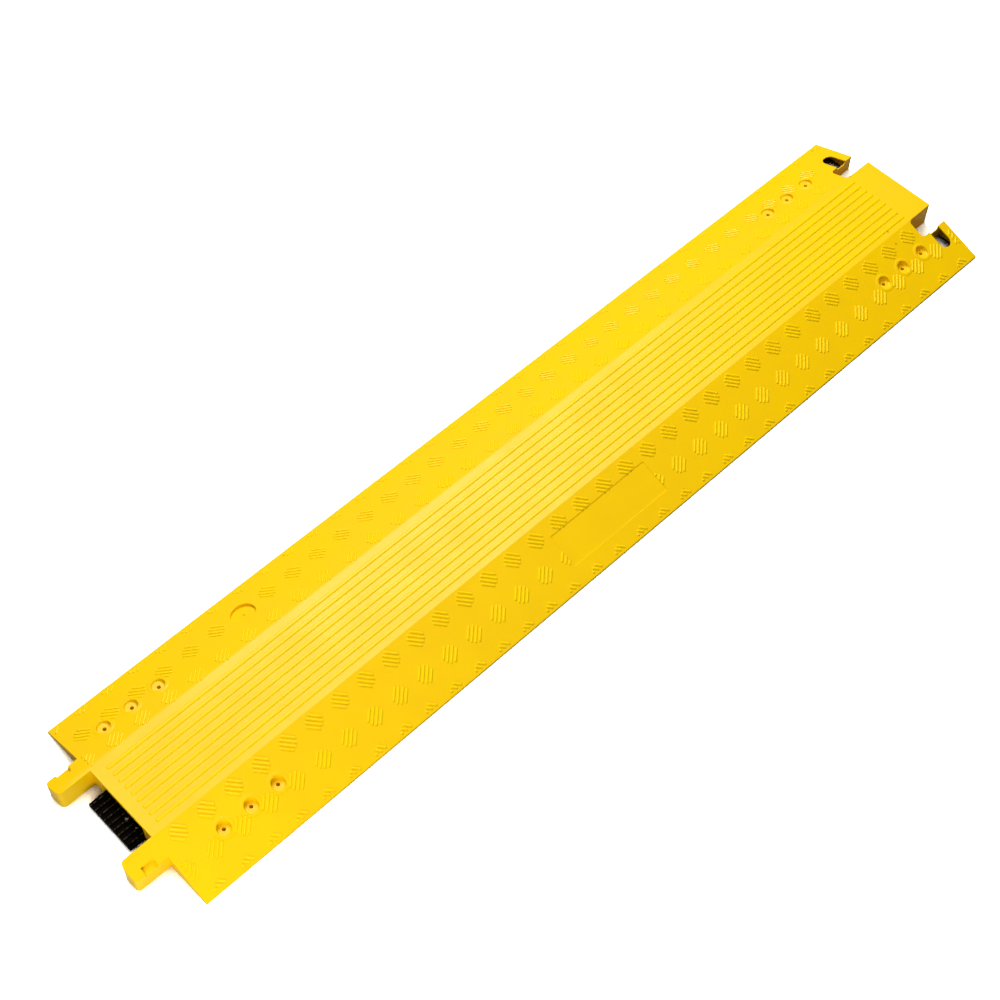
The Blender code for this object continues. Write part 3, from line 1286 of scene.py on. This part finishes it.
@dataclass
class StudioFloor:
    """The plain pale floor, shown brighter than real paper would be.

    It darkens where the pieces enclose it, and throws back more light by the tabs than elsewhere.
    """

    form: CoverForm
    half_size: float = 6.0
    shown_colour: float = 2.2
    bounce_colours: Plan = (0.7, 0.25)
    bounce_reach: Plan = (0.10, 0.34)
    bounce_middle: Point = (-0.10, -0.16, 0.0)
    shade_colour: Point = (0.030, 0.021, 0.010)
    shade_reach: float = 0.030
    shade_range: Plan = (0.26, 0.50)

    def build(self) -> Object:
        """Build the floor and give it its material."""
        builder = bmesh.new()
        bmesh.ops.create_grid(builder, x_segments=1, y_segments=1, size=self.half_size)
        item = to_object("studio_floor", builder)
        item.data.materials.append(self.material())
        return item

    def openness(self, bench: NodeBench) -> object:
        """Add the mask of open floor, 0 where the pieces enclose it and 1 in the open."""
        node = bench.add("AmbientOcclusion", samples=4)
        bench.feed(node.inputs["Distance"], self.shade_reach)
        return bench.remap(node.outputs["AO"], *self.shade_range, 0.0, 1.0)

    def material(self) -> Material:
        """Build the floor's material."""
        made = bpy.data.materials.new("studio_floor")
        made.use_nodes = True
        bench = NodeBench(made.node_tree)
        made.node_tree.nodes.remove(made.node_tree.nodes["Principled BSDF"])
        output = made.node_tree.nodes["Material Output"]
        place = bench.add("TexCoord").outputs["Object"]
        moved = bench.vector("SUBTRACT", place, (self.form.module_start, 0.0, 0.0))
        open_share = self.openness(bench)
        shade = (*self.shade_colour, 1.0)
        gap = bench.vector("DISTANCE", moved.outputs[0], self.bounce_middle)
        thrown = bench.remap(gap.outputs["Value"], *self.bounce_reach, *self.bounce_colours)
        path = bench.add("LightPath")
        shown = bench.add("BsdfDiffuse")
        bench.feed(shown.inputs["Color"], bench.blend(open_share, shade, (self.shown_colour,) * 3 + (1.0,)))
        bounce = bench.add("BsdfDiffuse")
        bench.feed(bounce.inputs["Color"], bench.blend(open_share, shade, thrown))
        mix = bench.add("MixShader")
        bench.feed(mix.inputs[0], path.outputs["Is Camera Ray"])
        bench.feed(mix.inputs[1], bounce.outputs[0])
        bench.feed(mix.inputs[2], shown.outputs[0])
        bench.feed(output.inputs["Surface"], mix.outputs[0])
        return made


@dataclass(frozen=True)
class SoftBox:
    """One square area light."""

    name: str
    place: Point
    aim: Point
    size: float
    power: float
    shiny: bool

    def build(self) -> Object:
        """Add the light. The camera doesn't see it, and gloss shows it only where it is shiny."""
        data = bpy.data.lights.new(self.name, "AREA")
        data.shape = "SQUARE"
        data.size = self.size
        data.energy = self.power
        item = bpy.data.objects.new(self.name, data)
        item.location = self.place
        item.rotation_euler = (Vector(self.aim) - Vector(self.place)).to_track_quat("-Z", "Y").to_euler()
        item.visible_glossy = self.shiny
        item.visible_camera = False
        bpy.context.scene.collection.objects.link(item)
        return item


@dataclass
class StudioLights:
    """Two soft boxes behind the cover, a broad one above, two small ones by the tabs, and a dim room."""

    boxes: tuple[SoftBox, ...] = (
        SoftBox("key_soft_box", (0.50, 1.50, 2.00), (0.0, 0.0, 0.0), 1.0, 22.0, True),
        SoftBox("right_soft_box", (1.00, 1.15, 2.00), (0.0, 0.0, 0.0), 1.0, 18.0, True),
        SoftBox("top_soft_box", (0.0, 0.35, 2.60), (0.0, 0.0, 0.0), 2.6, 50.5, False),
        SoftBox("side_soft_box", (-1.20, -0.85, 0.50), (-0.40, 0.0, 0.0), 0.5, 3.9, False),
        SoftBox("low_soft_box", (-0.66, -0.40, 0.06), (-0.48, 0.0, 0.0), 0.12, 0.9, False),
    )
    room: float = 0.05

    def build(self) -> None:
        """Add the lights and the room."""
        for box in self.boxes:
            box.build()
        world = bpy.data.worlds.new("studio_room")
        world.use_nodes = True
        bpy.context.scene.world = world
        bench = NodeBench(world.node_tree)
        room = world.node_tree.nodes["Background"]
        bench.feed(room.inputs["Color"], (1.0, 1.0, 1.0, 1.0))
        bench.feed(room.inputs["Strength"], self.room)


@dataclass
class PhotoCamera:
    """The camera at the photograph's viewing angle."""

    eye: Point = (-0.73357, -0.68239, 1.47582)
    target: Point = (-0.03799, 0.01278, 0.0)
    roll_degrees: float = 1.22685
    lens: float = 69.05
    sensor_width: float = 36.0

    def build(self) -> Object:
        """Add the camera and make it the scene's own."""
        forward = (Vector(self.target) - Vector(self.eye)).normalized()
        level = forward.cross(Vector((0.0, 0.0, 1.0))).normalized()
        turn = Matrix.Rotation(math.radians(self.roll_degrees), 3, forward)
        right = turn.inverted() @ level
        upward = right.cross(forward)
        axes = Matrix((right, upward, -forward)).transposed()
        data = bpy.data.cameras.new("photo_camera")
        data.lens = self.lens
        data.sensor_width = self.sensor_width
        item = bpy.data.objects.new("photo_camera", data)
        item.matrix_world = Matrix.Translation(self.eye) @ axes.to_4x4()
        bpy.context.scene.collection.objects.link(item)
        bpy.context.scene.camera = item
        return item


# ---------------------------------------------------------------- putting it together


def attach(item: Object, nodes: Iterable[str] = ()) -> None:
    """Fix a piece to the frame.

    Args:
        item: The piece.
        nodes: The CAD nodes that it stands for.
    """
    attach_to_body(item, BODY)
    if nodes:
        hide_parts(*nodes)
    LOG.info("piece %s: %d faces", item.name, len(item.data.polygons))


def main() -> None:
    """Build every piece, then the studio."""
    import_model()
    effects = SurfaceEffects()
    yellow = COVER_YELLOW.build(effects)
    crest = RIB_YELLOW.build(effects)
    tread = TREAD_YELLOW_PAINTED_LIGHT.build(effects)
    black = LINER_BLACK.build(effects)
    form = CoverForm()
    attach(CoverMoulding(form).build(yellow), ["cover"])
    attach(TopRibs(form).build(crest))
    attach(TreadPattern(form).build(tread))
    attach(ChannelLiner().build(black), ["channel_liner"])
    StudioFloor(form).build()
    StudioLights().build()
    PhotoCamera().build()
    bpy.context.scene.view_settings.view_transform = "Standard"


if __name__ == "__main__":
    main()
